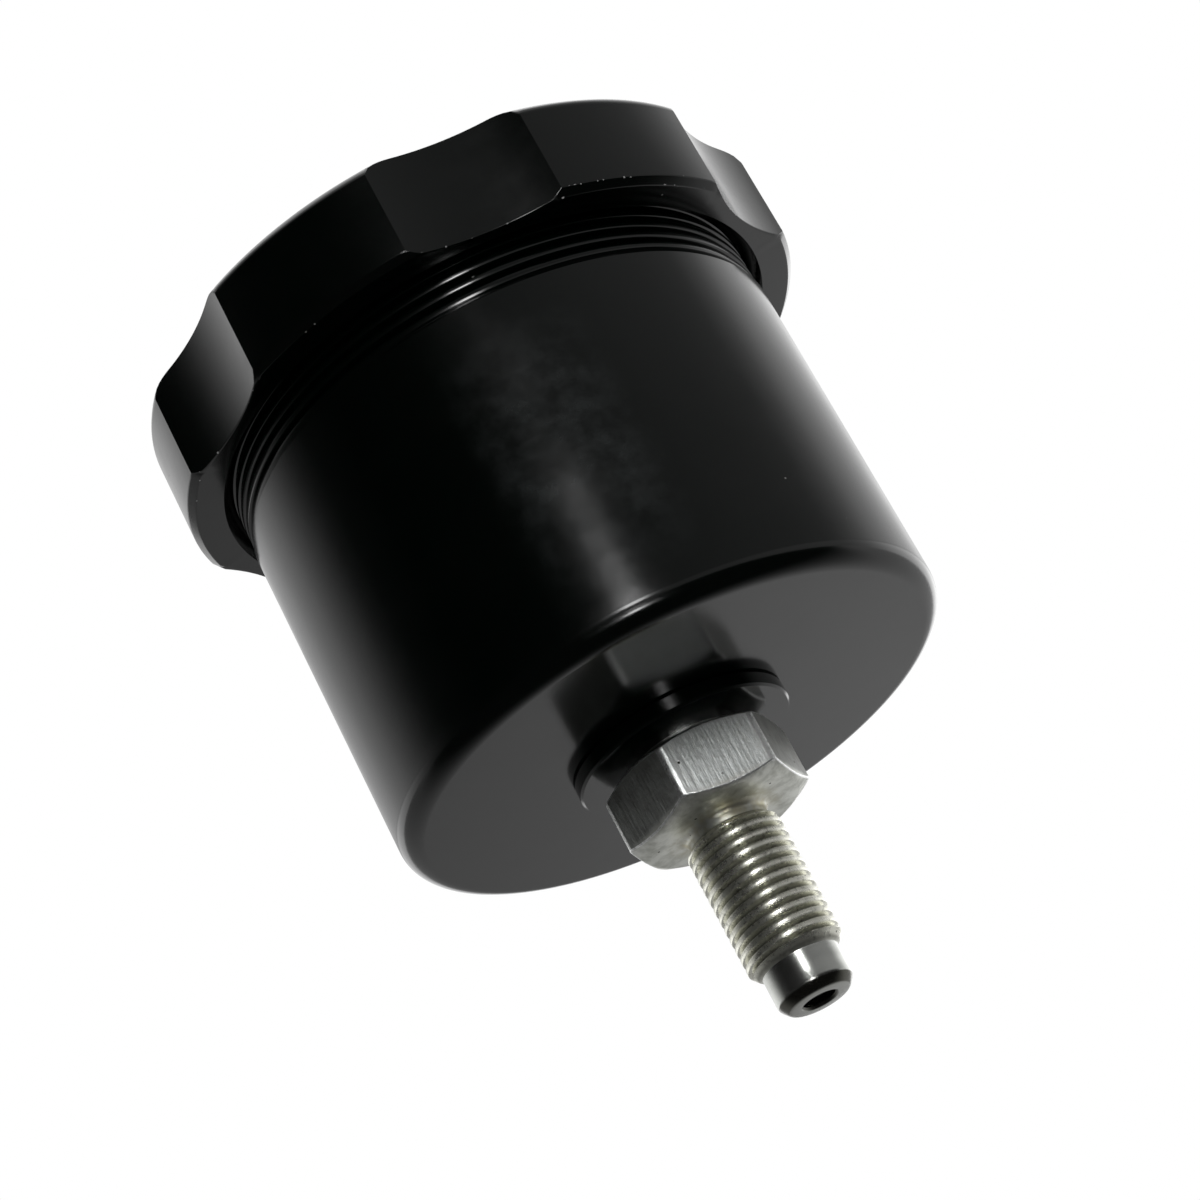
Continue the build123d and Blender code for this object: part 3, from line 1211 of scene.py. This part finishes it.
@dataclass
class SlipRing:
    """The flat plastic ring that the cap turns on."""

    extent: Extent
    width: float = 5.6
    corner: float = 0.15
    steps: int = 180

    def build(self) -> bpy.types.Object:
        """Builds the ring and puts it in the scene.

        Returns:
            The ring's object.
        """
        outer, inner = self.extent.radius, self.extent.radius - self.width
        low, high, cut = self.extent.bottom, self.extent.top, self.corner
        outline = Outline(inner + cut, low).to(outer - cut, low, 2)
        outline.to(outer, low + cut).to(outer, high - cut)
        outline.to(outer - cut, high).to(inner + cut, high, 2).to(inner, high - cut).to(inner, low + cut)
        piece = Piece("slip_washer", Body.RING, "slip_ring", Slot.ACETAL)
        material = NaturalAcetal("natural_acetal").material()
        return piece.place(joined([turned(outline, self.steps)]), material)


@dataclass
class ScrewCap:
    """The fluted cap with its internal thread."""

    joint: CapJoint
    extent: Extent
    radius: float = 38.1
    roof: float = 3.25
    top_radius: float = 1.6
    bottom_chamfer: float = 0.75
    mouth_chamfer: float = 1.42
    recess_radius: float = 26.73
    recess_depth: float = 0.9
    vent_radius: float = 1.0
    vent_chamfer: float = 0.25
    flutes: int = 6
    flute_width: float = 18.1
    flute_depth: float = 2.57
    flute_turn: float = 42.2
    still_radius: float = 34.8
    still_margin: float = 0.2
    lower_edge_height: float = 1.6
    edge_margin: float = 0.3
    edge_round: float = 0.12
    thread_top: float = 66.6
    runout: float = 0.6

    @property
    def bore_radius(self) -> float:
        """Radius of the plain bore over the thread."""
        return self.joint.thread.crest + self.joint.clearance

    def _wall(self, height: float, angle: float) -> float:
        """Gives the radius of the threaded bore, with its mouth chamfer and its runout.

        Args:
            height: Height in millimetres.
            angle: Direction in radians.

        Returns:
            The radius in millimetres.
        """
        ridge = self.bore_radius - self.joint.inner_radius(height, angle)
        share = min(max((self.thread_top - LEVEL_BAND - height) / self.runout, 0.0), 1.0)
        mouth = self.bore_radius + self.mouth_chamfer - (height - self.extent.bottom)
        return max(self.bore_radius - ridge * share, mouth)

    def _flute_reach(self, off_centre: float) -> float:
        """Gives the radius of the cap's side at an angle from a flute's centre.

        Args:
            off_centre: The angle in radians.

        Returns:
            The radius in millimetres, no more than the cap's own.
        """
        half = self.flute_width / 2
        edge = math.sqrt(self.radius ** 2 - half ** 2)
        sag = edge - (self.radius - self.flute_depth)
        cutter = (half ** 2 + sag ** 2) / (2 * sag)
        centre = self.radius - self.flute_depth + cutter
        gap = cutter ** 2 - (centre * math.sin(off_centre)) ** 2
        if abs(off_centre) > math.asin(half / self.radius) or gap < 0:
            return self.radius
        return min(centre * math.cos(off_centre) - math.sqrt(gap), self.radius)

    def _heights(self, radius: float) -> tuple[float, float]:
        """Gives the heights of the cap's edge profile at a radius.

        Args:
            radius: Radius in millimetres.

        Returns:
            The lower and the upper height.
        """
        low = self.extent.bottom + max(radius - (self.radius - self.bottom_chamfer), 0.0)
        past = max(radius - (self.radius - self.top_radius), 0.0)
        high = self.extent.top - self.top_radius + math.sqrt(max(self.top_radius ** 2 - past ** 2, 0.0))
        return low, high

    def _cut_flutes(self, mesh: bmesh.types.BMesh) -> None:
        """Moves the outer points of the turned cap onto the six flutes.

        Args:
            mesh: The turned cap.
        """
        sector = FULL_TURN / self.flutes
        half_flute = math.asin(self.flute_width / 2 / self.radius)
        whole_step = FULL_TURN / self.joint.steps
        grid_half = round(half_flute / whole_step) * whole_step
        wall_low, wall_high = self._heights(self.radius)
        for vert in mesh.verts:
            radius = off_axis(vert)
            if radius < self.still_radius:
                continue
            angle = math.atan2(vert.co.y, vert.co.x)
            centre_turn = math.radians(self.flute_turn)
            off = (angle - centre_turn + sector / 2) % sector - sector / 2
            side = math.copysign(1.0, off)
            if abs(off) <= grid_half:
                shifted = abs(off) * half_flute / grid_half
            else:
                land = (sector / 2 - half_flute) / (sector / 2 - grid_half)
                shifted = half_flute + (abs(off) - grid_half) * land
            angle += side * shifted - off
            reach = self._flute_reach(shifted - 1e-9)
            share = (reach - self.still_radius) / (self.radius - self.still_radius)
            moved = self.still_radius + (radius - self.still_radius) * share
            low, high = self._heights(moved)
            height = vert.co.z / MM
            if radius > self.radius - 0.001:
                height = low + (height - wall_low) / (wall_high - wall_low) * (high - low)
            elif height > (wall_low + wall_high) / 2:
                height = high
            else:
                height = low
            vert.co = Vector((moved * math.cos(angle), moved * math.sin(angle), height)) * MM

    def _break_edges(self, mesh: bmesh.types.BMesh) -> None:
        """Breaks the sharp edges along the lower chamfer, then those between the flutes.

        Args:
            mesh: The fluted cap.
        """

        def sharp_edges(lower: bool) -> list[bmesh.types.BMEdge]:
            """Finds the sharp edges of the cap's side.

            Args:
                lower: Whether to take the edges along the lower chamfer or those over it.

            Returns:
                The edges.
            """
            found = []
            low_top = self.extent.bottom + self.lower_edge_height
            for edge in mesh.edges:
                outside = all(off_axis(vert) > self.still_radius + self.edge_margin for vert in edge.verts)
                low = all(vert.co.z / MM < low_top for vert in edge.verts)
                if outside and low == lower and edge.calc_face_angle(0.0) > SHARP_ANGLE:
                    found.append(edge)
            return found

        mesh.faces.layers.float.new(EDGE_WEAR)
        for lower in (True, False):
            mesh.normal_update()
            mark_worn(mesh, soften(mesh, sharp_edges(lower), self.edge_round))

    def build(self) -> bpy.types.Object:
        """Builds the cap and puts it in the scene.

        Returns:
            The cap's object.
        """
        joint, bottom, top = self.joint, self.extent.bottom, self.extent.top
        start = math.radians(self.flute_turn)
        thread_low = bottom + self.mouth_chamfer
        thread_high = joint.thread.snapped(thread_low, self.thread_top, joint.steps)
        sheet = joint.thread.sheet(thread_low, thread_high, joint.steps, start, self._wall)
        ceiling = top - self.roof
        mouth = self.bore_radius + self.mouth_chamfer
        outline = Outline(self.bore_radius, thread_high).to(self.bore_radius, ceiling)
        outline.to(self.recess_radius, ceiling).to(self.recess_radius, ceiling + self.recess_depth)
        outline.to(self.vent_radius, ceiling + self.recess_depth, 4)
        outline.to(self.vent_radius, top - self.vent_chamfer)
        outline.to(self.vent_radius + self.vent_chamfer, top)
        outline.to(self.still_radius - self.still_margin, top, 5)
        outline.to(self.radius - self.top_radius, top)
        outline.arc(self.radius - self.top_radius, top - self.top_radius, self.top_radius, 80, 10, 7)
        outline.to(self.radius, top - self.top_radius)
        outline.to(self.radius, bottom + self.bottom_chamfer, 3)
        outline.to(self.radius - self.bottom_chamfer, bottom)
        outline.to(self.still_radius - self.still_margin, bottom)
        outline.to(mouth, bottom).to(self.bore_radius, thread_low)
        mesh = joined([sheet, turned(outline, joint.steps, start, closed=False)])
        self._cut_flutes(mesh)
        self._break_edges(mesh)
        finish = BlackAnodising("cap_anodising", roughness=0.18, mark_depth=0.0009)
        return Piece("fluted_cap", Body.SCREW_CAP, "cap", Slot.ANODISED).place(mesh, finish.material())


@dataclass
class Studio:
    """The photograph's camera, a pale floor and soft light.

    Lengths are in millimetres and angles in degrees. The floor has a look of its own in
    reflections: dim in front of the part, paler behind it and to the right, and bright in
    a pool towards the key lamp. The room's brightness is given by azimuth, and its bands
    by the height of the direction that is looked in, from 0 level to 1 straight up.
    """

    camera_place: tuple = (-0.45, -331.30, -118.52)
    aim_height: float = 31.66
    roll: float = 28.32
    focal_pixels: float = 3259.32
    image_pixels: float = 1200.0
    sensor: float = 36.0
    floor_height: float = -250.0
    floor_size: float = 8000.0
    floor_lift: float = 0.35
    floor_pale: tuple = (0.80, 0.80, 0.80, 1.0)
    floor_paler: tuple = (0.84, 0.84, 0.84, 1.0)
    floor_behind: tuple = (-30.0, 310.0)
    floor_to_right: tuple = (-130.0, 130.0)
    pool_near: tuple = (520.0, 600.0)
    pool_far: tuple = (880.0, 740.0)
    pool_spread: tuple = (0.075, 0.035)
    pool_radiance: float = 26.0
    key_azimuth: float = 278.0
    key_elevation: float = 14.4
    key_distance: float = 1000.0
    key_width: float = 150.0
    key_height: float = 212.0
    key_radiance: float = 18.5
    top_size: float = 900.0
    top_height: float = 1100.0
    top_behind: float = 150.0
    top_radiance: float = 0.9
    room: tuple = ((-180, 0.09), (-170, 0.025), (-150, 0.006), (-110, 0.013), (-92, 0.06), (-70, 0.16),
                   (-50, 0.21), (-30, 0.25), (-8, 0.26), (8, 0.28), (20, 0.50), (32, 0.90), (50, 1.20),
                   (70, 1.50), (90, 0.95), (110, 0.80), (130, 0.93), (150, 0.78), (162, 0.50), (172, 0.25),
                   (180, 0.09))
    upper_band: tuple = (0.42, 0.50)
    lower_band: tuple = (0.335, 0.27)
    ceiling_band: tuple = (0.72, 0.97)
    ceiling: float = 0.8

    def place_camera(self) -> bpy.types.Object:
        """Puts the camera where the photograph was taken from.

        Returns:
            The camera.
        """
        data = bpy.data.cameras.new("photo_camera")
        data.sensor_width = self.sensor
        data.lens = self.focal_pixels / self.image_pixels * self.sensor
        data.clip_end = 100.0
        camera = bpy.data.objects.new("photo_camera", data)
        place = Vector(self.camera_place)
        aim = Vector((place.x, 0.0, self.aim_height)) - place
        level = aim.to_track_quat("-Z", "Y").to_matrix()
        turn = Matrix.Rotation(math.radians(self.roll), 3, aim)
        camera.matrix_world = Matrix.Translation(place * MM) @ (turn @ level).to_4x4()
        bpy.context.scene.collection.objects.link(camera)
        bpy.context.scene.camera = camera
        return camera

    def lay_floor(self) -> bpy.types.Object:
        """Lays the pale floor, far enough below to stay out of the photograph's view.

        Returns:
            The floor.
        """
        mesh = bmesh.new()
        bmesh.ops.create_grid(mesh, x_segments=1, y_segments=1, size=self.floor_size / 2 * MM)
        bmesh.ops.translate(mesh, verts=mesh.verts, vec=(0.0, 0.0, self.floor_height * MM))
        data = bpy.data.meshes.new("floor")
        mesh.to_mesh(data)
        mesh.free()
        material, bench = new_material("pale_floor")
        part = RoundPart(bench)
        pale = bench.blend(bench.noise(part.place, 0.004, 2.0), self.floor_pale, self.floor_paler)
        matt = bench.add("ShaderNodeBsdfDiffuse", None, {"Color": pale})
        path = bench.add("ShaderNodeLightPath")
        lift = Number(bench, path.outputs["Is Camera Ray"]) * self.floor_lift
        glow = bench.add("ShaderNodeEmission", None, {"Color": WHITE, "Strength": lift})
        seen = bench.add("ShaderNodeAddShader", None, {0: matt.outputs[0], 1: glow.outputs[0]})
        behind = part.y.between(*self.floor_behind)
        to_right = part.x.between(*self.floor_to_right)
        along = part.along(self.key_azimuth)
        across = bench.maths("ABSOLUTE", part.along(self.key_azimuth - 90))
        pool = along.between(*self.pool_near) * (0.12 + 0.88 * along.between(*self.pool_far))
        pool = pool * (across / along).between(*self.pool_spread) * self.pool_radiance
        brightness = behind * (0.34 + 0.28 * to_right) + pool + 0.02
        mirrored = bench.add("ShaderNodeEmission", None, {"Color": WHITE, "Strength": brightness})
        both = bench.add("ShaderNodeMixShader", None, {0: path.outputs["Is Glossy Ray"], 1: seen.outputs[0],
                                                       2: mirrored.outputs[0]})
        bench.add("ShaderNodeOutputMaterial", None, {0: both.outputs[0]})
        data.materials.append(material)
        floor = bpy.data.objects.new("floor", data)
        bpy.context.scene.collection.objects.link(floor)
        return floor

    def light_world(self) -> None:
        """Makes the world: white to the camera, and to the part a white backdrop behind a dim room."""
        world = bpy.data.worlds.new("studio")
        world.use_nodes = True
        bpy.context.scene.world = world
        bench = NodeBench(world.node_tree)
        source = bench.add("ShaderNodeTexCoord")
        split = bench.add("ShaderNodeSeparateXYZ", None, {0: source.outputs["Generated"]})
        x, y, z = (Number(bench, split.outputs[axis]) for axis in range(3))
        turn = bench.maths("ARCTAN2", y, x) / FULL_TURN + 0.5
        brightest = max(grey for _, grey in self.room)
        stops = [((degrees + 180) / 360, grey / brightest) for degrees, grey in self.room]
        ramp = bench.add("ShaderNodeValToRGB", {"stops": stops}, {0: turn})
        lift = 0.82 + 0.25 * z.between(*self.upper_band) + 0.65 * z.between(*self.lower_band)
        around = Number(bench, ramp.outputs[0]) * brightest * lift
        overhead = z.between(*self.ceiling_band)
        lit = around * (1 - overhead) + overhead * self.ceiling
        path = bench.add("ShaderNodeLightPath")
        seen = Number(bench, path.outputs["Is Camera Ray"])
        strength = seen + lit * (1 - seen)
        background = bench.add("ShaderNodeBackground", None, {"Color": WHITE, "Strength": strength})
        bench.add("ShaderNodeOutputWorld", None, {0: background.outputs[0]})

    def hang_lamp(self, name: str, place: Vector, width: float, height: float,
                  radiance: float) -> bpy.types.Object:
        """Hangs a soft lamp that faces the part.

        Args:
            name: Name of the lamp.
            place: Its place in millimetres.
            width: Its width in millimetres.
            height: Its height in millimetres.
            radiance: Its brightness, where 1 is white.

        Returns:
            The lamp.
        """
        data = bpy.data.lights.new(name, "AREA")
        data.shape = "RECTANGLE"
        data.size, data.size_y = width * MM, height * MM
        data.energy = radiance * math.pi * data.size * data.size_y
        lamp = bpy.data.objects.new(name, data)
        aim = Vector((0.0, 0.0, self.aim_height)) - place
        turn = aim.to_track_quat("-Z", "Y").to_matrix()
        lamp.matrix_world = Matrix.Translation(place * MM) @ turn.to_4x4()
        bpy.context.scene.collection.objects.link(lamp)
        return lamp

    def build(self) -> None:
        """Sets up the camera, the floor, the world, the lamps and the view."""
        self.place_camera()
        self.lay_floor()
        self.light_world()
        azimuth, elevation = math.radians(self.key_azimuth), math.radians(self.key_elevation)
        level = self.key_distance * math.cos(elevation)
        key = Vector((level * math.cos(azimuth), level * math.sin(azimuth),
                      self.aim_height + self.key_distance * math.sin(elevation)))
        self.hang_lamp("key_softbox", key, self.key_width, self.key_height, self.key_radiance)
        top = Vector((0.0, self.top_behind, self.top_height))
        self.hang_lamp("top_softbox", top, self.top_size, self.top_size, self.top_radiance)
        bpy.context.scene.view_settings.view_transform = "Standard"


def main() -> None:
    """Builds the studio and every piece of the reservoir, in order."""
    logging.basicConfig(level=logging.INFO, format="%(name)s: %(message)s")
    Studio().build()
    cap_joint = CapJoint(Thread(crest=32.5, root=31.58, pitch=1.5, groove_height=54.9, crest_share=0.45,
                                crown=0.035))
    outlet_thread = Thread(crest=5.555, root=4.70, pitch=1.27, groove_height=0.4, crest_share=0.42,
                           crown=0.03)
    assemblies = [
        ReservoirBody(cap_joint, Extent.of("body")),
        BaseWasher(Extent.of("base_washer")),
        BaseSeal(Extent.of("base_seal")),
        OutletFitting(Extent.of("outlet_fitting"), outlet_thread),
        Bellows(Extent.of("bellows"), Extent.of("body").top),
        SlipRing(Extent.of("slip_ring")),
        ScrewCap(cap_joint, Extent.of("cap")),
    ]
    for assembly in assemblies:
        piece = assembly.build()
        LOG.info("placed %s", piece.name)


if __name__ == "__main__":
    main()
